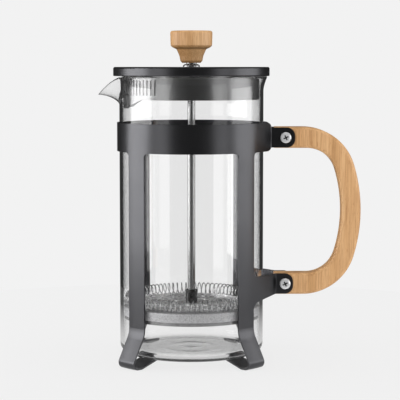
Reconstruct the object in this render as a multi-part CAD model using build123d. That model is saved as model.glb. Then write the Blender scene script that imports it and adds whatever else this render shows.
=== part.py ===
from build123d import *
import os
from math import acos, asin, atan2, cos, degrees, hypot, pi, radians, sin

# A one-litre french press. Millimetres, +Z up, +X towards the handle, -X towards the spout.
# The origin is on the axis of the glass, at the surface that the feet stand on.

# Beaker
glass_radius = 48.0  # outside of the wall
glass_wall = 2.0
glass_floor = 2.8
glass_corner = 6.0  # outside radius between wall and floor
glass_height = 183.5
rim_flare = 2.7  # how far the rim turns out
rim_flare_depth = 9.5
rim_flare_radius = 14.0
seat_height = 5.4  # underside of the glass above the table

# Spout, measured outwards from the wall and down from the rim
spout_reach = 14.5
spout_half_width = 18.5
spout_depth = 18.0
spout_tip_drop = 12.2
spout_tip_half_width = 3.2
spout_tip_depth = 1.9
spout_wall = 1.5
spout_lip = 0.4  # straight part below the spout's edge

# Frame, bent from one sheet
sheet = 1.0
frame_gap = 0.3  # between the glass and the frame
band_drop = 30.4  # from the rim to the top of the band
band_height = 18.8
leg_width = 14.8
leg_angles = (43, -43)  # each gives two opposite legs
window_corner = 3.0
bend_radius = 1.5
flare_height = 22.2
flare_spread = 11.4
flare_radius = 15.0
fold_radius = 3.5
foot_flat = 4.0
foot_inset = 3.5  # how far a folded foot reaches under the flat of the glass's floor

# Clamping ears
grip_thickness = 14.0  # across the handle, between the ears
upper_bend_gap = 4.2  # from the glass to the bend
upper_tab_length = 16.2
upper_tab_height = 13.2
lower_bend_gap = 7.9
lower_tab_length = 11.6
lower_tab_height = 13.6
tab_corner = 5.5
ear_corner = 3.0

# Handle
grip_gap = 7.0  # from the glass to the ends of the wood
grip_reach = 57.4  # from the ends of the wood to the far side
upper_arm_drop = 0.5  # below the middle of the band
upper_arm_width = 14.0
lower_arm_z = 51.2
lower_arm_width = 14.2
grip_far_width = 12.8
grip_corner = 35.5  # outer radius of the two corners
grip_inner_corner = 20.0
grip_side = 105.0  # outer radius of the long side
grip_edge = 2.4

# Handle fasteners
screw_inset = 7.2  # from the ends of the wood
screw_radius = 2.0
screw_head_radius = 3.7
screw_head_height = 2.3
screw_hole_gap = 0.15
nut_flats = 7.0
nut_height = 3.2
nut_dome = 2.6
nut_shoulder = 0.2  # flats beyond the dome
recess_width = 0.9
recess_turn = 25.0  # how the cross recess happens to stand
lower_screw_rise = 0.3  # above the middle of the lower arm

# Lid
lid_overhang = 3.7  # beyond the glass
lid_height = 6.0
lid_sheet = 1.0
lid_edge = 1.2
rest_gap = 0.1  # between a piece at rest and its stop
sleeve_gap = 1.0  # between the sleeve and the glass
sleeve_sheet = 0.6
sleeve_depth = 20.3  # below the inside of the cap
sleeve_tongue = 5.6  # extra depth in front of the spout
tongue_angle = 25.0
tongue_end_angle = 45.0
slot_width = 0.9
slot_height = 10.1
slot_drop = 7.3  # from the inside of the cap to the top of the slots
slot_pitch = 3.9
slot_count = 31
slot_shift = 0.25  # of a pitch, away from the middle of the spout

# Rod and its bushing
rod_radius = 2.5
running_gap = 0.05  # radial, in a bearing or a thread
bushing_radius = 4.0
bushing_flange = 5.6
bushing_dome = 1.8
bushing_nut_flats = 11.0
bushing_nut_height = 3.5
play = 0.05  # axial, between pieces that turn on each other

# Knob
knob_radius = 14.0
knob_height = 21.1
knob_foot_radius = 7.3
knob_neck = 9.6  # height of the neck below the disc
knob_foot_height = 1.4
knob_waist = 4.6  # height of the hollow in the neck
knob_waist_radius = 7.9
knob_throat_radius = 9.8  # where the neck meets the disc
knob_chamfer = 0.6
knob_lift = 0.7  # insert showing below the knob
insert_radius = 3.5
insert_length = 9.8

# Filter stack, from the bottom
filter_low = 28.9  # rim of the cross plate at the end of its travel
filter_gap = 0.65  # between the screen and the glass
filter_plate_sheet = 0.8
filter_rim_height = 7.9
screen_skirt = 5.9  # how far the screen is turned down
screen_sheet = 0.3
screen_gap = 0.25  # between the screen's rim and the cross plate's
spring_plate_gap = 0.2  # between the plate and the coil
spring_plate_sheet = 0.7
spring_plate_bead = 1.0
spring_gap = 0.4  # between the coil and the glass
coil_tube = 4.1  # outer radius of the coil's turns
coil_wire = 0.35  # radius of the wire
coil_turns = 80
collar_radius = 3.9
collar_height = 9.0
hub_flats = 8.0
hub_height = 5.0
rod_stub = 0.8  # rod showing below the hub nut
spring_plate_rings = ((0.4, 4.6, 8), (0.76, 4.2, 16))
cross_plate_rings = ((0.27, 4.4, 6), (0.54, 4.6, 12), (0.82, 4.6, 20))

# Heights and radii that follow
rim_z = seat_height + glass_height
inner_radius = glass_radius - glass_wall
frame_mid = glass_radius + frame_gap + sheet / 2
band_top = rim_z - band_drop
band_low = band_top - band_height
foot_tip_radius = glass_radius - glass_corner - foot_inset
upper_bend_x = glass_radius + upper_bend_gap
upper_tab_end = upper_bend_x + upper_tab_length
lower_bend_x = glass_radius + lower_bend_gap
lower_tab_end = lower_bend_x + lower_tab_length
grip_start = glass_radius + grip_gap
grip_far = grip_start + grip_reach
upper_arm_z = band_low + band_height / 2 - upper_arm_drop
screw_x = grip_start + screw_inset
upper_screw_z = upper_arm_z
lower_screw_z = lower_arm_z + lower_screw_rise
lid_radius = glass_radius + lid_overhang
lid_low = rim_z + rest_gap
lid_top = lid_low + lid_height
cap_inside = lid_top - lid_sheet
sleeve_inside = cap_inside - sleeve_sheet
sleeve_radius = inner_radius - sleeve_gap
bushing_top = lid_top + play + bushing_dome
insert_low = bushing_top + rest_gap
knob_low = insert_low + knob_lift
insert_top = insert_low + insert_length
rod_top = insert_top - lid_sheet
cross_top = filter_low + filter_rim_height
screen_top = cross_top + screen_sheet
spring_plate_top = screen_top + spring_plate_sheet
screen_radius = inner_radius - filter_gap
filter_plate_radius = screen_radius - screen_sheet - screen_gap
coil_centre = inner_radius - spring_gap - coil_tube
spring_plate_radius = coil_centre - coil_tube - spring_plate_gap
coil_z = screen_top + coil_tube + spring_gap / 2
hub_low = cross_top - filter_plate_sheet - hub_height
tab_side = grip_thickness / 2 + sheet  # outer face of an ear
bore = rod_radius + running_gap


def profile(points):
    """A closed outline. A third value is the radius of that corner."""
    face = make_face(Polyline([point[:2] for point in points], close=True))
    for point in points:
        if len(point) == 3:
            corner = face.vertices().sort_by_distance((point[0], point[1], 0))[0]
            face = fillet(corner, point[2])
    return face


def turned(points):
    """Revolve an outline of (radius, height) points about the axis."""
    return revolve(Plane.XZ * profile(points), Axis.Z)


def upright(points, half_width):
    """An outline of (x, z) points, as thick as asked on both sides of the XZ plane."""
    return extrude(Plane.XZ * profile(points), half_width, both=True)


def around(shape, count, start=0.0):
    """Copies of a shape, evenly spaced about the axis."""
    return [Rot(0, 0, start + index * 360 / count) * shape for index in range(count)]


def hexagon(flats, height):
    return extrude(RegularPolygon(flats / 2, 6, major_radius=False), height)


# Beaker


def spout_station(share):
    """Distance, half width, height of the edge and depth of the channel along the spout."""
    left = max(1 - share, 0)
    half_width = spout_tip_half_width + (spout_half_width - spout_tip_half_width) * left**0.65
    depth = spout_tip_depth + (spout_depth - spout_tip_depth) * left**1.15
    edge = rim_z - spout_tip_drop * max(share, 0) ** 1.5
    return glass_radius + spout_reach * share, half_width, edge, depth


def spout_section(share, inset, rise):
    """Half an ellipse hanging from the spout's edge, with a straight part above it."""
    distance, half_width, edge, depth = spout_station(share)
    half = half_width - inset
    curve = EllipticalCenterArc((0, 0), half, depth - inset, start_angle=0, arc_size=180)
    sides = Polyline((-half, 0), (-half, -rise), (half, -rise), (half, 0))
    start = (-distance, 0, edge - spout_lip)
    plane = Plane(origin=start, x_dir=(0, 1, 0), z_dir=(-1, 0, 0))
    return plane * make_face(Curve() + [curve, sides])


def beaker():
    bottom = seat_height
    lip = glass_wall * 0.45
    inside = glass_corner - glass_wall
    turn = rim_z - rim_flare_depth
    cup = turned(
        [
            (0, bottom),
            (glass_radius, bottom, glass_corner),
            (glass_radius, turn, rim_flare_radius),
            (glass_radius + rim_flare, rim_z, lip),
            (inner_radius + rim_flare, rim_z, lip),
            (inner_radius, turn, rim_flare_radius),
            (inner_radius, bottom + glass_floor, inside),
            (0, bottom + glass_floor),
        ]
    )
    root = -0.35
    outer_shares = (root, 0, 0.3, 0.55, 0.8, 1.0)
    inner_shares = (root - 0.1, 0, 0.3, 0.55, 0.8, 1.0, 1.2)
    beak = loft([spout_section(share, 0, spout_lip) for share in outer_shares])
    channel = loft([spout_section(share, spout_wall, spout_reach) for share in inner_shares])
    cavity = Pos(0, 0, rim_z) * Cylinder(inner_radius, 60)
    above = Pos(-glass_radius, 0, rim_z + spout_depth / 2) * Box(
        4 * spout_reach, 4 * spout_half_width, spout_depth
    )
    return cup + (beak - cavity - above) - channel


# Frame


def ear_line(bend_x, tab_end, side):
    """The middle of an ear's sheet in plan, from the ring to the end of the tab."""
    reach = (grip_thickness + sheet) / 2
    angle = atan2(reach, bend_x) + acos(frame_mid / hypot(bend_x, reach))
    leave = (frame_mid * cos(angle), side * frame_mid * sin(angle))
    bend = (bend_x, side * reach)
    end = (tab_end, side * reach)
    return degrees(angle), FilletPolyline(leave, bend, end, radius=bend_radius)


def band_plan():
    """The band in plan: a ring, open at the handle, and its two ears."""
    angle, near = ear_line(upper_bend_x, upper_tab_end, 1)
    far = ear_line(upper_bend_x, upper_tab_end, -1)[1]
    ring = CenterArc((0, 0), frame_mid, angle, 360 - 2 * angle)
    return trace(Curve() + [near, ring, far], sheet)


def lower_ear_plan(side):
    """One lower ear in plan, with the piece of ring that it leaves the leg from."""
    angle, ear = ear_line(lower_bend_x, lower_tab_end, side)
    root_angle = leg_angles[0]
    start = angle if side > 0 else -root_angle
    root = CenterArc((0, 0), frame_mid, start, root_angle - angle)
    return trace(Curve() + [ear, root], sheet)


def leg_window(angle):
    """The band and two opposite legs, seen along the legs' direction, as a cutter."""
    half = leg_width / 2
    wide = frame_mid * 1.6
    outline = profile(
        [
            (-wide, band_low),
            (-half, band_low, window_corner),
            (-half, -sheet),
            (half, -sheet),
            (half, band_low, window_corner),
            (wide, band_low),
            (wide, band_top),
            (-wide, band_top),
        ]
    )
    direction = radians(angle)
    plane = Plane(
        origin=(0, 0, 0),
        x_dir=(-sin(direction), cos(direction), 0),
        z_dir=(cos(direction), sin(direction), 0),
    )
    return extrude(plane * outline, frame_mid * 2, both=True)


def foot_sheet(top):
    """The flared and folded lower end of the legs, turned right round the axis."""
    half = sheet / 2
    tip = (foot_tip_radius, seat_height - rest_gap - half)
    knee = frame_mid + flare_spread
    flat_end = knee - 2 * fold_radius - foot_flat / 2
    line = FilletPolyline(
        (frame_mid, top),
        (frame_mid, flare_height),
        (knee, half),
        (flat_end, half),
        tip,
        radius=[flare_radius, fold_radius, fold_radius],
    )
    return revolve(Plane.XZ * trace(line, sheet), Axis.Z)


def upper_ear_cutter():
    """What is cut from the band beyond the ears' own outline."""
    tab_low = upper_arm_z - upper_tab_height / 2
    tab_high = tab_low + upper_tab_height
    ear_end = upper_bend_x + sheet / 2
    start = upper_bend_x - ear_corner * 3
    body = profile(
        [
            (start, band_low),
            (ear_end, band_low, ear_corner),
            (ear_end, band_top, ear_corner),
            (start, band_top),
        ]
    )
    tab = profile(
        [
            (start, tab_low),
            (upper_tab_end, tab_low, tab_corner),
            (upper_tab_end, tab_high, tab_corner),
            (start, tab_high),
        ]
    )
    far = upper_tab_end + sheet
    blank = profile(
        [
            (start, band_low - sheet),
            (far, band_low - sheet),
            (far, band_top + sheet),
            (start, band_top + sheet),
        ]
    )
    return extrude(Plane.XZ * (blank - (body + tab)), frame_mid, both=True)


def lower_ear_outline():
    """A lower ear seen from the side, rounded into the leg above and below."""
    tab_low = lower_screw_z - lower_tab_height / 2
    tab_high = tab_low + lower_tab_height
    leg_angle = radians(leg_angles[0])
    root = frame_mid * cos(leg_angle)
    edge = frame_mid * cos(leg_angle - asin(leg_width / 2 / frame_mid)) - sheet / 2
    return upright(
        [
            (root, tab_high + 5),
            (edge, tab_high + 5),
            (edge + 2.4, tab_high, 3.0),
            (lower_tab_end, tab_high, tab_corner),
            (lower_tab_end, tab_low, tab_corner),
            (lower_bend_x, tab_low, 4.0),
            (edge + 2.8, tab_low - 3.2, 4.0),
            (edge, tab_low - 8),
            (root, tab_low - 8),
        ],
        frame_mid,
    )


def frame():
    joint_z = flare_height + flare_radius
    wall = Pos(0, 0, joint_z) * extrude(band_plan(), band_top - joint_z)
    body = wall + foot_sheet(joint_z)
    windows = leg_window(leg_angles[0]) + leg_window(leg_angles[1])
    body = (body & windows) - upper_ear_cutter()
    outline = lower_ear_outline()
    for side in (1, -1):
        ear = extrude(lower_ear_plan(side), band_low)
        body = body + (ear & outline)
    for height in (upper_screw_z, lower_screw_z):
        body = body - screw_hole(height)
    return body


# Handle


def screw_hole(height):
    hole = Cylinder(screw_radius + screw_hole_gap, 4 * grip_thickness)
    return Pos(screw_x, 0, height) * Rot(90, 0, 0) * hole


def loop_outline(low, high, far, corner, side):
    """Half a loop: two straight arms joined by a corner, a long side and a corner."""
    middle = (low + high) / 2
    half = (high - low) / 2
    turn = acos((half - corner) / (side - corner))
    corner_x = far - side + (side - corner) * sin(turn)
    start = (grip_start, high)
    upper_centre = (corner_x, high - corner)
    lower_centre = (corner_x, low + corner)
    side_centre = (far - side, middle)
    rest = 90 - degrees(turn)
    curves = [
        Line(start, (corner_x, high)),
        CenterArc(upper_centre, corner, rest, 90 - rest),
        CenterArc(side_centre, side, -rest, 2 * rest),
        CenterArc(lower_centre, corner, -90, 90 - rest),
        Line((corner_x, low), (grip_start, low)),
        Line((grip_start, low), start),
    ]
    return make_face(Curve() + curves)


def handle_grip():
    outer = loop_outline(
        lower_arm_z - lower_arm_width / 2,
        upper_arm_z + upper_arm_width / 2,
        grip_far,
        grip_corner,
        grip_side,
    )
    inner = loop_outline(
        lower_arm_z + lower_arm_width / 2,
        upper_arm_z - upper_arm_width / 2,
        grip_far - grip_far_width,
        grip_inner_corner,
        grip_side - grip_far_width,
    )
    grip = extrude(Plane.XZ * (outer - inner), grip_thickness / 2, both=True)
    long_edges = [
        edge
        for edge in grip.edges()
        if abs(abs(edge.center().Y) - grip_thickness / 2) < 0.01
    ]
    grip = fillet(long_edges, grip_edge)
    for height in (upper_screw_z, lower_screw_z):
        grip = grip - screw_hole(height)
    return grip


def handle_screw(height):
    """A pan-head screw with a cross recess, its head against the front ear."""
    recess = screw_head_radius * 0.95
    depth = screw_head_height * 0.75
    head = turned(
        [
            (0, 0),
            (screw_head_radius, 0),
            (screw_head_radius, screw_head_height, 1.5),
            (0, screw_head_height),
        ]
    )
    cross = Box(recess, recess_width, depth) + Box(recess_width, recess, depth)
    head = head - Pos(0, 0, screw_head_height - depth / 2) * Rot(0, 0, recess_turn) * cross
    length = 2 * tab_side + nut_height
    shank = Pos(0, 0, -length / 2) * Cylinder(screw_radius, length)
    return Pos(screw_x, -tab_side, height) * Rot(90, 0, 0) * (head + shank)


def handle_nut(height):
    """A cap nut against the back ear."""
    dome_radius = nut_flats / 2 - nut_shoulder
    bore_depth = nut_height + nut_shoulder
    dome = turned(
        [
            (0, 0),
            (dome_radius, 0),
            (dome_radius, nut_height + nut_dome, nut_dome),
            (0, nut_height + nut_dome),
        ]
    )
    thread = Pos(0, 0, bore_depth / 2) * Cylinder(screw_radius + running_gap, bore_depth)
    nut = hexagon(nut_flats, nut_height) + dome - thread
    return Pos(screw_x, tab_side, height) * Rot(-90, 0, 0) * nut


# Lid


def lid_cap():
    """A shallow cap with a seat turned in to rest on the rim."""
    seat = sleeve_radius + 1.2
    wall = lid_radius - lid_sheet
    hole = bushing_radius + running_gap
    return turned(
        [
            (hole, cap_inside),
            (wall, cap_inside, lid_edge / 4),
            (wall, lid_low + lid_sheet),
            (seat, lid_low + lid_sheet),
            (seat, lid_low),
            (lid_radius, lid_low, lid_edge / 2),
            (lid_radius, lid_top, lid_edge),
            (hole, lid_top),
        ]
    )


def tongue_cutters(low):
    """What is cut from the sleeve's lower edge to leave the tongue at the spout."""
    line = cap_inside - sleeve_depth
    near = sleeve_radius * sin(radians(tongue_angle))
    far = sleeve_radius * sin(radians(tongue_end_angle))
    wide = sleeve_radius * 1.2
    back = Pos(wide / 2, 0, (low + line) / 2 - 1) * Box(wide, 2 * wide, line - low + 2)
    cutters = [back]
    for side in (1, -1):
        shape = profile(
            [
                (side * near, low - 0.01),
                (side * far, line),
                (side * wide, line),
                (side * wide, low - 2),
                (side * near, low - 2),
            ]
        )
        cutters.append(extrude(Plane.YZ * shape, -wide))
    return cutters


def lid_sleeve():
    """The sleeve under the cap, slotted to strain what is poured."""
    low = cap_inside - sleeve_depth - sleeve_tongue
    inside = sleeve_radius - sleeve_sheet
    hole = bushing_radius + running_gap
    sleeve = turned(
        [
            (hole, sleeve_inside),
            (inside, sleeve_inside, sleeve_sheet),
            (inside, low),
            (sleeve_radius, low),
            (sleeve_radius, cap_inside, 2 * sleeve_sheet),
            (hole, cap_inside),
        ]
    )
    for cutter in tongue_cutters(low):
        sleeve = sleeve - cutter
    slot_z = cap_inside - slot_drop - slot_height / 2
    slot = Pos(-sleeve_radius, 0, slot_z) * Box(4, slot_width, slot_height)
    middle = (slot_count - 1) / 2
    turns = [(index - middle + slot_shift) * slot_pitch for index in range(slot_count)]
    slots = [Rot(0, 0, turn) * slot for turn in turns]
    return sleeve - slots


def rod_bushing():
    low = sleeve_inside - play - bushing_nut_height - 0.8
    flange_low = lid_top + play
    return turned(
        [
            (bore, low),
            (bushing_radius, low),
            (bushing_radius, flange_low),
            (bushing_flange, flange_low),
            (bushing_flange, flange_low + 1.0, 0.6),
            (bushing_radius + 0.4, bushing_top, 0.9),
            (bore, bushing_top),
        ]
    )


def bushing_nut():
    nut = hexagon(bushing_nut_flats, bushing_nut_height)
    nut = nut - Cylinder(bushing_radius + running_gap, 3 * bushing_nut_height)
    return Pos(0, 0, sleeve_inside - play - bushing_nut_height) * nut


# Plunger


def plunger_rod():
    low = hub_low - rod_stub
    return turned(
        [
            (0, low),
            (rod_radius, low, 0.5),
            (rod_radius, rod_top),
            (0, rod_top),
        ]
    )


def knob():
    top = knob_low + knob_height
    hole = insert_radius + running_gap
    disc_low = knob_low + knob_neck
    return turned(
        [
            (hole, knob_low),
            (knob_foot_radius - 2 * knob_chamfer, knob_low, 0.5),
            (knob_foot_radius, knob_low + knob_foot_height, 0.8),
            (knob_waist_radius, knob_low + knob_waist, 6.0),
            (knob_throat_radius, disc_low - knob_chamfer, 1.6),
            (knob_radius - 2.5 * knob_chamfer, disc_low + knob_chamfer, 0.5),
            (knob_radius - knob_chamfer / 2, disc_low + 3 * knob_chamfer, 0.8),
            (knob_radius, top, 1.4),
            (0, top),
            (0, insert_top),
            (hole, insert_top),
        ]
    )


def knob_insert():
    return turned(
        [
            (bore, insert_low),
            (insert_radius, insert_low, 0.3),
            (insert_radius, insert_top),
            (0, insert_top),
            (0, rod_top),
            (bore, rod_top),
        ]
    )


def rod_collar():
    top = spring_plate_top + collar_height
    return turned(
        [
            (bore, spring_plate_top),
            (collar_radius, spring_plate_top),
            (collar_radius, top, 0.6),
            (bore, top),
        ]
    )


def pierced(plate, rings, edge, height):
    """Cut rings of round holes. Each ring is (share of the edge's radius, hole radius, count)."""
    for share, radius, count in rings:
        hole = Pos(share * edge, 0, height) * Cylinder(radius, filter_rim_height)
        plate = plate - around(hole, count, 180 / count)
    return plate


def spring_plate():
    """The top plate, with a raised bead inside the coil."""
    low = screen_top
    lip = spring_plate_radius - spring_plate_sheet
    bead_top = spring_plate_top + spring_plate_bead
    plate = turned(
        [
            (bore, low),
            (spring_plate_radius, low, 0.3),
            (spring_plate_radius, bead_top, 0.3),
            (lip, bead_top),
            (lip, spring_plate_top, 0.3),
            (bore, spring_plate_top),
        ]
    )
    return pierced(plate, spring_plate_rings, lip, low)


def coil_spring():
    """The coil's turns, leaning as a spring's do, round the edge of the filter."""
    turn_radius = coil_tube - coil_wire
    pitch = 2 * pi * coil_centre / coil_turns
    lean = degrees(atan2(pitch, 4 * turn_radius))
    turn = Pos(coil_centre, 0, coil_z) * Rot(90 - lean, 0, 0) * Torus(turn_radius, coil_wire)
    return Compound(children=around(turn, coil_turns))


def mesh_screen():
    """The woven screen, as a thin sheet turned down over the cross plate's rim."""
    inside = screen_radius - screen_sheet
    low = screen_top - screen_skirt
    return turned(
        [
            (bore, cross_top),
            (inside, cross_top),
            (inside, low),
            (screen_radius, low),
            (screen_radius, screen_top, screen_sheet),
            (bore, screen_top),
        ]
    )


def cross_plate():
    """The pierced pan that holds the screen flat."""
    low = cross_top - filter_plate_sheet
    wall = filter_plate_radius - filter_plate_sheet
    plate = turned(
        [
            (bore, low),
            (wall, low),
            (wall, filter_low),
            (filter_plate_radius, filter_low),
            (filter_plate_radius, cross_top, filter_plate_sheet),
            (bore, cross_top),
        ]
    )
    return pierced(plate, cross_plate_rings, filter_plate_radius, low)


def hub_nut():
    nut = hexagon(hub_flats, hub_height) - Cylinder(bore, 3 * hub_height)
    return Pos(0, 0, hub_low) * nut


pieces = {
    "frame": frame(),
    "handle_grip": handle_grip(),
    "upper_handle_screw": handle_screw(upper_screw_z),
    "lower_handle_screw": handle_screw(lower_screw_z),
    "upper_handle_nut": handle_nut(upper_screw_z),
    "lower_handle_nut": handle_nut(lower_screw_z),
    "beaker": beaker(),
    "lid_cap": lid_cap(),
    "lid_sleeve": lid_sleeve(),
    "rod_bushing": rod_bushing(),
    "bushing_nut": bushing_nut(),
    "plunger_rod": plunger_rod(),
    "knob": knob(),
    "knob_insert": knob_insert(),
    "rod_collar": rod_collar(),
    "spring_plate": spring_plate(),
    "coil_spring": coil_spring(),
    "mesh_screen": mesh_screen(),
    "cross_plate": cross_plate(),
    "hub_nut": hub_nut(),
}

os.makedirs("parts", exist_ok=True)
for name, shape in pieces.items():
    export_step(shape, f"parts/{name}.step")
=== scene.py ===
"""A one-litre french press: black steel frame, glass beaker, bamboo handle and knob."""

import math

import bpy
import bmesh
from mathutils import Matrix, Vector


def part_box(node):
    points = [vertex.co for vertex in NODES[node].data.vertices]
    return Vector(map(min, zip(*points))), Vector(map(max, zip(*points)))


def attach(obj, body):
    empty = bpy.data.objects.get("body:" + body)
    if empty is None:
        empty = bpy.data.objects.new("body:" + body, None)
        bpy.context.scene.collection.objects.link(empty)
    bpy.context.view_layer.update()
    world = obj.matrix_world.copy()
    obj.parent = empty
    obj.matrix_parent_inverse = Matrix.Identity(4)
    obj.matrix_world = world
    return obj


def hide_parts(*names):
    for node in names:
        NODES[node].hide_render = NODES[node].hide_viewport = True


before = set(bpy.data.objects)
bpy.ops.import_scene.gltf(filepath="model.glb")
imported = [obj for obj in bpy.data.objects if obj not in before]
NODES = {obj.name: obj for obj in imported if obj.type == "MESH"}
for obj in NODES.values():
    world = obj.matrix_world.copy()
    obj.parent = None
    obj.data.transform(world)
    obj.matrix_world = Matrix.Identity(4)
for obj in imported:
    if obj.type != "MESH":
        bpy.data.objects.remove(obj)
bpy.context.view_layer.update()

MM = 0.001

# ---------------------------------------------------------------- camera and light

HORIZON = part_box("lid_cap")[1].z  # height of the lens, level with the top of the lid
CAMERA_DISTANCE = 1.0  # from the axis of the glass
AIM_TO_HANDLE = 0.0057  # how far beside the axis, and below the horizon, the camera looks
AIM_DROP = 0.0884
LENS = 135.5


def make_camera():
    data = bpy.data.cameras.new("camera")
    data.lens = LENS
    camera = bpy.data.objects.new("camera", data)
    camera.location = (0, -CAMERA_DISTANCE, HORIZON)
    towards = Vector((AIM_TO_HANDLE, 0, HORIZON - AIM_DROP)) - camera.location
    camera.rotation_euler = towards.to_track_quat("-Z", "Y").to_euler()
    bpy.context.collection.objects.link(camera)
    bpy.context.scene.camera = camera


LIT_HEIGHT = 0.11  # the point on the axis that the lamps are aimed at
SOFTBOXES = (
    # name, direction, elevation, distance, (width, height), watts
    ("left_softbox", -88, 6, 0.75, (0.62, 0.46), 2.5),
    ("right_softbox", 88, 6, 0.75, (0.62, 0.46), 1.5),
    ("left_wing", -46, -12, 0.8, (0.34, 1.1), 1.2),
    ("right_wing", 46, -12, 0.8, (0.34, 1.1), 1.0),
    ("top_softbox", 0, 80, 0.9, (0.5, 0.5), 0.35),
)


def softbox(name, direction, elevation, distance, size, power):
    """A rectangular lamp aimed at the press. Direction 0 is the camera's side, in degrees."""
    data = bpy.data.lights.new(name, "AREA")
    data.shape = "RECTANGLE"
    data.size, data.size_y = size
    data.energy = power
    lamp = bpy.data.objects.new(name, data)
    turn, rise = math.radians(direction), math.radians(elevation)
    flat = math.cos(rise)
    away = Vector((math.sin(turn) * flat, -math.cos(turn) * flat, math.sin(rise)))
    lamp.location = Vector((0, 0, LIT_HEIGHT)) + away * distance
    lamp.rotation_euler = (-away).to_track_quat("-Z", "Y").to_euler()
    bpy.context.collection.objects.link(lamp)


BACKDROP = 0.888  # what is seen directly, or through the glass
AMBIENT = 0.9  # what lights matt surfaces
MIRRORED = 0.03  # what shiny surfaces reflect between the lamps


def seen_by_ray(tree, seen, matt, mirrored):
    """A light's strength for three kinds of ray: straight or through glass, off matt surfaces,
    and off shiny ones. The last strength may be a number or a socket.
    """
    path = tree.nodes.new("ShaderNodeLightPath")
    strength = None
    for value, test in ((matt, "Is Diffuse Ray"), (mirrored, "Glossy Depth")):
        mix = tree.nodes.new("ShaderNodeMix")
        mix.clamp_factor = True
        mix.inputs["A"].default_value = seen
        if isinstance(value, bpy.types.NodeSocket):
            tree.links.new(value, mix.inputs["B"])
        else:
            mix.inputs["B"].default_value = value
        tree.links.new(path.outputs[test], mix.inputs["Factor"])
        if strength:
            tree.links.new(strength, mix.inputs["A"])
        strength = mix.outputs["Result"]
    return strength


def make_world():
    """A pale backdrop that shiny surfaces see as a dark room with lit softboxes."""
    world = bpy.data.worlds.new("studio")
    world.use_nodes = True
    tree = world.node_tree
    tree.nodes.clear()
    shader = tree.nodes.new("ShaderNodeBackground")
    shader.inputs["Color"].default_value = (1, 1, 1, 1)
    tree.links.new(seen_by_ray(tree, BACKDROP, AMBIENT, MIRRORED), shader.inputs["Strength"])
    out = tree.nodes.new("ShaderNodeOutputWorld")
    tree.links.new(shader.outputs["Background"], out.inputs["Surface"])
    bpy.context.scene.world = world
    bpy.context.scene.view_settings.view_transform = "Standard"


FLOOR_RADIUS = 0.35
FLOOR_SIDES = 96
FLOOR_GAP = 0.1 * MM  # so that the feet and the floor don't share a plane
FLOOR_GREY = 0.1  # takes the faint shadow
FLOOR_GLOW = 0.77  # with the grey, as pale as the backdrop
FLOOR_LIT = 0.55  # what shiny surfaces see of the table just under the press
FLOOR_MIRRORED = 0.06  # and of the table further out
FLOOR_LIT_RADIUS = 0.09
FLOOR_FADE_RADIUS = 0.25


def make_floor():
    """A round pale table that shows only a faint shadow."""
    mesh = bpy.data.meshes.new("floor")
    body = bmesh.new()
    bmesh.ops.create_circle(body, cap_ends=True, segments=FLOOR_SIDES, radius=FLOOR_RADIUS)
    body.to_mesh(mesh)
    body.free()
    floor = bpy.data.objects.new("floor", mesh)
    floor.location.z = -FLOOR_GAP
    bpy.context.collection.objects.link(floor)
    material = bpy.data.materials.new("floor")
    material.use_nodes = True
    tree = material.node_tree
    tree.nodes.clear()
    glow = tree.nodes.new("ShaderNodeEmission")
    place = tree.nodes.new("ShaderNodeTexCoord")
    distance = tree.nodes.new("ShaderNodeVectorMath")
    distance.operation = "LENGTH"
    tree.links.new(place.outputs["Object"], distance.inputs[0])
    fade = tree.nodes.new("ShaderNodeMapRange")
    fade.inputs["From Min"].default_value = FLOOR_LIT_RADIUS
    fade.inputs["From Max"].default_value = FLOOR_FADE_RADIUS
    fade.inputs["To Min"].default_value = FLOOR_LIT
    fade.inputs["To Max"].default_value = FLOOR_MIRRORED
    tree.links.new(distance.outputs["Value"], fade.inputs["Value"])
    strength = seen_by_ray(tree, FLOOR_GLOW, FLOOR_GLOW, fade.outputs["Result"])
    tree.links.new(strength, glow.inputs["Strength"])
    matt = tree.nodes.new("ShaderNodeBsdfDiffuse")
    matt.inputs["Color"].default_value = (FLOOR_GREY, FLOOR_GREY, FLOOR_GREY, 1)
    both = tree.nodes.new("ShaderNodeAddShader")
    out = tree.nodes.new("ShaderNodeOutputMaterial")
    tree.links.new(glow.outputs["Emission"], both.inputs[0])
    tree.links.new(matt.outputs["BSDF"], both.inputs[1])
    tree.links.new(both.outputs["Shader"], out.inputs["Surface"])
    mesh.materials.append(material)


# ---------------------------------------------------------------- materials


MIX_FACTOR, MIX_FIRST, MIX_SECOND, MIX_RESULT = 0, 6, 7, 2  # a Mix node's colour sockets


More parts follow.
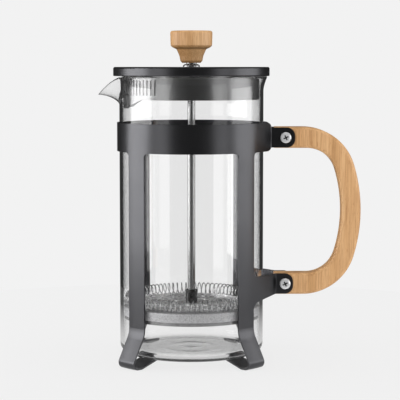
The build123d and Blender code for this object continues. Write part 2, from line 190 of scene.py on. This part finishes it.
class Look:
    """A material built from Principled BSDF and a few procedural nodes."""

    def __init__(self, name, colour, **values):
        self.material = bpy.data.materials.new(name)
        self.material.use_nodes = True
        self.tree = self.material.node_tree
        self.shader = self.tree.nodes["Principled BSDF"]
        self.shader.inputs["Base Color"].default_value = (*colour, 1)
        for socket, value in values.items():
            self.shader.inputs[socket.replace("_", " ")].default_value = value
        self.place = None

    def node(self, kind, **values):
        made = self.tree.nodes.new("ShaderNode" + kind)
        for socket, value in values.items():
            made.inputs[socket.replace("_", " ")].default_value = value
        return made

    def join(self, source, target):
        self.tree.links.new(source, target)

    def stretched(self, scale):
        """The piece's own coordinates in metres, stretched by a scale along each axis."""
        if self.place is None:
            self.place = self.node("TexCoord").outputs["Object"]
        mapping = self.node("Mapping", Scale=scale)
        self.join(self.place, mapping.inputs["Vector"])
        return mapping.outputs["Vector"]

    def noise(self, scale, detail=3, **values):
        texture = self.node("TexNoise", Scale=1.0, Detail=detail, **values)
        self.join(self.stretched(scale), texture.inputs["Vector"])
        return texture.outputs["Fac"]

    def ranged(self, source, low, high, start=0.3, end=0.7):
        """Spread a texture's middle values between two numbers."""
        spread = self.node("MapRange")
        spread.inputs["From Min"].default_value = start
        spread.inputs["From Max"].default_value = end
        spread.inputs["To Min"].default_value = low
        spread.inputs["To Max"].default_value = high
        self.join(source, spread.inputs["Value"])
        return spread.outputs["Result"]

    def ramp(self, source, *stops):
        made = self.node("ValToRGB")
        ramp = made.color_ramp
        for index, (place, colour) in enumerate(stops):
            if index < len(ramp.elements):
                element = ramp.elements[index]
                element.position = place
            else:
                element = ramp.elements.new(place)
            element.color = (*colour, 1)
        self.join(source, made.inputs["Fac"])
        return made.outputs["Color"]

    def blend(self, first, second, factor, mode="MIX"):
        made = self.tree.nodes.new("ShaderNodeMix")
        made.data_type = "RGBA"
        made.blend_type = mode
        for value, index in ((factor, MIX_FACTOR), (first, MIX_FIRST), (second, MIX_SECOND)):
            if isinstance(value, bpy.types.NodeSocket):
                self.join(value, made.inputs[index])
            else:
                made.inputs[index].default_value = value
        return made.outputs[MIX_RESULT]

    def colour(self, source):
        self.join(source, self.shader.inputs["Base Color"])

    def roughness(self, source):
        self.join(source, self.shader.inputs["Roughness"])

    def bump(self, source, height, strength=1.0):
        made = self.node("Bump", Strength=strength, Distance=height)
        self.join(source, made.inputs["Height"])
        self.join(made.outputs["Normal"], self.shader.inputs["Normal"])

    def give(self, *names):
        """Put the material on CAD nodes."""
        for name in names:
            piece = NODES[name]
            piece.data.materials.clear()
            piece.data.materials.append(self.material)


def black_paint():
    """Satin black coating on steel: deep, even, with a fine orange-peel texture."""
    look = Look("satin_black", (0.11, 0.11, 0.116), Metallic=0.96, Roughness=0.31)
    grain = look.noise((900, 900, 900), 2)
    cloud = look.noise((22, 22, 22), 2)
    look.colour(look.ramp(cloud, (0.3, (0.10, 0.10, 0.106)), (0.7, (0.122, 0.122, 0.129))))
    look.roughness(look.ranged(grain, 0.28, 0.34))
    look.bump(grain, 0.02 * MM, 0.5)
    return look


def bamboo():
    """Bamboo board: upright strips of slightly different tones, with fine dark fibres."""
    look = Look("bamboo", (0.74, 0.43, 0.21), Roughness=0.42)
    strip = look.noise((150, 60, 2.0), 1)
    fibre = look.noise((1900, 1900, 45), 3)
    fleck = look.noise((2300, 2300, 170), 2)
    base = look.ramp(
        strip,
        (0.34, (0.60, 0.33, 0.135)),
        (0.5, (0.69, 0.395, 0.175)),
        (0.66, (0.76, 0.46, 0.22)),
    )
    lines = look.ramp(fibre, (0.36, (0.60, 0.48, 0.36)), (0.56, (1, 1, 1)))
    flecks = look.ramp(fleck, (0.30, (0.62, 0.47, 0.34)), (0.38, (1, 1, 1)))
    tone = look.blend(base, lines, 0.6, "MULTIPLY")
    look.colour(look.blend(tone, flecks, 0.7, "MULTIPLY"))
    look.roughness(look.ranged(fibre, 0.50, 0.36))
    look.bump(fibre, 0.05 * MM, 0.6)
    return look


STEEL_RELIEF = 0.01 * MM
SLEEVE_RELIEF = 0.001 * MM  # the sleeve is burnished


def steel(name, tone, roughness, spread, stretch, metallic, relief):
    """Bright steel with faint marks, whose noise is stretched by a scale along each axis."""
    look = Look(name, (tone, tone, tone * 1.01), Metallic=metallic, Roughness=roughness)
    marks = look.noise(stretch, 3)
    look.roughness(look.ranged(marks, roughness - spread, roughness + spread))
    look.colour(look.ramp(marks, (0.3, (tone * 0.93,) * 3), (0.7, (tone, tone, tone * 1.01))))
    look.bump(marks, relief, 0.25)
    return look


POLISHED_NODES = (
    "plunger_rod",
    "rod_bushing",
    "bushing_nut",
    "knob_insert",
    "hub_nut",
    "cross_plate",
)
HANDLE_NUTS = ("upper_handle_nut", "lower_handle_nut")
STEELS = (
    # name, tone, roughness and its spread, stretch, metallic, relief, and the nodes it is on
    ("sleeve_steel", 0.34, 0.3, 0.02, (40, 40, 300), 1.0, SLEEVE_RELIEF, ("lid_sleeve",)),
    ("polished_steel", 0.6, 0.2, 0.03, (300, 300, 10), 0.85, STEEL_RELIEF, POLISHED_NODES),
    ("collar_steel", 0.16, 0.25, 0.04, (300, 300, 300), 1.0, STEEL_RELIEF, ("rod_collar",)),
    ("plate_steel", 0.9, 0.26, 0.06, (300, 300, 300), 0.45, STEEL_RELIEF, ("spring_plate",)),
    ("nut_steel", 0.9, 0.2, 0.04, (500, 500, 500), 0.7, STEEL_RELIEF, HANDLE_NUTS),
)
SPRING_STEEL = ("spring_steel", 0.95, 0.16, 0.04, (800, 800, 800), 0.9, STEEL_RELIEF)

# painted shade in the screws' cross recess: it begins this far below the head's face and is full
# black at the next depth
RECESS_SHADE_STARTS = 1.0 * MM  # below the screw head's face
RECESS_SHADE_FULL = 1.6 * MM


def screw_steel():
    """Bright plated steel whose cross recess, below the head's face, has painted shade: its
    colour turns near black with depth.
    """
    look = Look("screw_steel", (0.97, 0.97, 0.98), Metallic=0.5, Roughness=0.16)
    marks = look.noise((500, 500, 500))
    look.roughness(look.ranged(marks, 0.13, 0.19))
    look.bump(marks, STEEL_RELIEF, 0.25)
    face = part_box("upper_handle_screw")[0].y
    split = look.node("SeparateXYZ")
    look.join(look.stretched((1, 1, 1)), split.inputs["Vector"])
    # painted shade: a mask that grows with depth into the cross recess
    recess_shade = look.ranged(split.outputs["Y"], 0.0, 1.0, face + RECESS_SHADE_STARTS, face + RECESS_SHADE_FULL)
    # the colour goes from bright steel at the face to near black in the recess, as painted shade
    look.colour(look.ramp(recess_shade, (0.0, (0.97, 0.97, 0.98)), (1.0, (0.04, 0.04, 0.04))))
    return look


def woven_steel():
    """Fine woven wire seen from where its holes are just too small to tell apart."""
    look = Look("woven_steel", (0.55, 0.55, 0.56), Metallic=0.3, Roughness=0.4)
    weave = look.node("TexVoronoi", Scale=1.0)
    look.join(look.stretched((1900, 1900, 1900)), weave.inputs["Vector"])
    spots = weave.outputs["Distance"]
    look.colour(look.ramp(spots, (0.1, (0.9, 0.9, 0.91)), (0.75, (0.4, 0.4, 0.41))))
    look.bump(spots, 0.12 * MM, 0.8)
    return look


TRAPPED_AFTER = 4.5  # bounces after which light is let out, so that the foot doesn't go black


def clear_glass():
    """Borosilicate glass that lets the lamps' light through to what it holds."""
    look = Look("borosilicate", (1, 1, 1), Roughness=0.0, IOR=1.47, Transmission_Weight=1.0)
    clear = look.node("BsdfTransparent")
    path = look.node("LightPath")
    trapped = look.node("Math")
    trapped.operation = "GREATER_THAN"
    trapped.inputs[1].default_value = TRAPPED_AFTER
    look.join(path.outputs["Ray Depth"], trapped.inputs[0])
    either = look.node("Math")
    either.operation = "MAXIMUM"
    look.join(path.outputs["Is Shadow Ray"], either.inputs[0])
    look.join(trapped.outputs["Value"], either.inputs[1])
    mix = look.node("MixShader")
    look.join(either.outputs["Value"], mix.inputs["Fac"])
    look.join(look.shader.outputs["BSDF"], mix.inputs[1])
    look.join(clear.outputs["BSDF"], mix.inputs[2])
    look.join(mix.outputs["Shader"], look.tree.nodes["Material Output"].inputs["Surface"])
    return look


# ---------------------------------------------------------------- pieces


def new_piece(name, body_name, material, mesh_body, replaced):
    """Turn a bmesh into a smooth piece that stands for a CAD node."""
    mesh = bpy.data.meshes.new(name)
    mesh_body.to_mesh(mesh)
    mesh_body.free()
    for face in mesh.polygons:
        face.use_smooth = True
    mesh.materials.append(material)
    piece = bpy.data.objects.new(name, mesh)
    bpy.context.collection.objects.link(piece)
    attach(piece, body_name)
    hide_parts(replaced)
    return piece


def arc(centre, radius, start, end, steps):
    """Points on an arc in the (radius, height) plane, its ends included."""
    angles = [math.radians(start + (end - start) * k / steps) for k in range(steps + 1)]
    return [(centre[0] + radius * math.cos(a), centre[1] + radius * math.sin(a)) for a in angles]


# The beaker's sizes, as in the CAD.
GLASS_WALL = 2.0 * MM
GLASS_FLOOR = 2.8 * MM
GLASS_CORNER = 6.0 * MM
RIM_FLARE = 2.7 * MM
RIM_FLARE_DEPTH = 9.5 * MM
RIM_FLARE_BEND = 1.6
SPOUT_HALF_ANGLE = 27.0
SPOUT_REACH = 14.5 * MM
SPOUT_DROP = 12.2 * MM
SPOUT_START = 24.9 * MM  # below the rim
# How the spout leaves the wall: low in its middle, higher towards its sides.
SPOUT_LOWEST = 0.3  # share of the climb from its start to the rim
SPOUT_SIDE_RISE = 0.45
SPOUT_POINT = 1.4
SPOUT_BEND = 1.3
SPOUT_SAG = 1.5
# The rings that moulding leaves in the floor.
RING_SWELL = 0.08 * MM
RING_COUNT = 2.5
RING_STEPS = 40
# How finely the surface is divided.
COLUMNS = 288
CORNER_STEPS = 8
INNER_CORNER_STEPS = 6
WALL_STEPS = 6
RIM_STEPS = 30


def make_beaker():
    """The beaker as one smooth surface, its rim drawn out into a pouring spout."""
    low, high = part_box("beaker")
    radius = high.x - RIM_FLARE
    bottom, rim = low.z, high.z
    inner = radius - GLASS_WALL
    lip = GLASS_WALL / 2
    corner = GLASS_CORNER
    inside = corner - GLASS_WALL
    flat = inner - inside
    start = rim - SPOUT_START

    def wall(at, first, last, steps):
        return [(at, first + (last - first) * k / steps) for k in range(steps + 1)]

    floor_top = bottom + GLASS_FLOOR
    profile = [(radius * k / 8, bottom) for k in range(1, 7)]
    profile += arc((radius - corner, bottom + corner), corner, -90, 0, CORNER_STEPS)
    profile += wall(radius, bottom + corner, start, WALL_STEPS)[1:]
    profile += wall(radius, start, rim - lip, RIM_STEPS)[1:]
    profile += arc((radius - lip, rim - lip), lip, 0, 180, CORNER_STEPS)[1:]
    profile += wall(inner, rim - lip, start, RIM_STEPS)[1:]
    profile += wall(inner, start, floor_top + inside, WALL_STEPS)[1:]
    profile += arc((flat, floor_top + inside), inside, 0, -90, INNER_CORNER_STEPS)[1:]
    for step in range(RING_STEPS, 0, -1):
        share = step / (RING_STEPS + 2)
        swell = RING_SWELL * math.cos(share * RING_COUNT * math.tau) * (1 - share * share)
        profile.append((flat * share, floor_top + swell))

    def spouted(r, z, angle):
        """Push a point out and down where the rim is drawn into the spout."""
        off = abs(math.degrees(angle) % 360 - 180) / SPOUT_HALF_ANGLE
        climb = (z - start) / (rim - start)
        flare = RIM_FLARE * max(1 - (rim - z) / RIM_FLARE_DEPTH, 0) ** RIM_FLARE_BEND
        if off >= 1 or climb <= 0:
            return r + flare, z
        pull = math.cos(math.pi * off / 2) ** SPOUT_POINT
        begin = SPOUT_LOWEST + SPOUT_SIDE_RISE * off * off
        rise = max((climb - begin) / (1 - begin), 0) ** SPOUT_BEND
        fall = SPOUT_DROP * pull**SPOUT_SAG * climb * climb
        return r + flare * (1 - pull) + SPOUT_REACH * pull * rise, z - fall

    body = bmesh.new()
    grid = []
    for r, z in profile:
        ring = []
        for column in range(COLUMNS):
            angle = math.tau * column / COLUMNS
            away, height = spouted(r, z, angle)
            ring.append(body.verts.new((away * math.cos(angle), away * math.sin(angle), height)))
        grid.append(ring)
    for lower, upper in zip(grid, grid[1:]):
        for column in range(COLUMNS):
            after = (column + 1) % COLUMNS
            body.faces.new((lower[column], lower[after], upper[after], upper[column]))
    for ring, height, upward in ((grid[0], bottom, False), (grid[-1], floor_top, True)):
        centre = body.verts.new((0, 0, height))
        for column in range(COLUMNS):
            pair = (ring[column], ring[(column + 1) % COLUMNS])
            body.faces.new((centre, *pair) if upward else (centre, *reversed(pair)))
    return new_piece("glass_beaker", "beaker", clear_glass().material, body, "beaker")


COIL_TURNS = 84
COIL_STEPS = 20  # points on each turn
WIRE = 0.36 * MM  # its radius
WIRE_SIDES = 7


def make_coil(material):
    """One wire wound into a spring and closed into a ring round the filter."""
    low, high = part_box("coil_spring")
    middle = (low.z + high.z) / 2
    turn = (high.z - low.z) / 2 - WIRE
    ring = high.x - turn - WIRE
    steps = COIL_TURNS * COIL_STEPS

    def point(step):
        round_ring = math.tau * step / steps
        round_wire = math.tau * step / COIL_STEPS
        away = ring + turn * math.cos(round_wire)
        height = middle + turn * math.sin(round_wire)
        return Vector((away * math.cos(round_ring), away * math.sin(round_ring), height))

    body = bmesh.new()
    loops = []
    for step in range(steps):
        here = point(step)
        along = (point(step + 1) - point(step - 1)).normalized()
        round_ring = math.tau * step / steps
        hub = Vector((ring * math.cos(round_ring), ring * math.sin(round_ring), middle))
        outward = (here - hub).normalized()
        side = along.cross(outward).normalized()
        outward = side.cross(along)
        loop = []
        for corner in range(WIRE_SIDES):
            angle = math.tau * corner / WIRE_SIDES
            offset = outward * math.cos(angle) + side * math.sin(angle)
            loop.append(body.verts.new(here + offset * WIRE))
        loops.append(loop)
    for step in range(steps):
        here, there = loops[step], loops[(step + 1) % steps]
        for corner in range(WIRE_SIDES):
            after = (corner + 1) % WIRE_SIDES
            body.faces.new((here[corner], there[corner], there[after], here[after]))
    bmesh.ops.recalc_face_normals(body, faces=body.faces)
    return new_piece("spring_coil", "plunger", material, body, "coil_spring")


# ---------------------------------------------------------------- the scene

make_camera()
make_world()
make_floor()
for lamp in SOFTBOXES:
    softbox(*lamp)

black_paint().give("frame", "lid_cap")
bamboo().give("handle_grip", "knob")
for *values, names in STEELS:
    steel(*values).give(*names)
screw_steel().give("upper_handle_screw", "lower_handle_screw")
woven_steel().give("mesh_screen")
make_beaker()
make_coil(steel(*SPRING_STEEL).material)
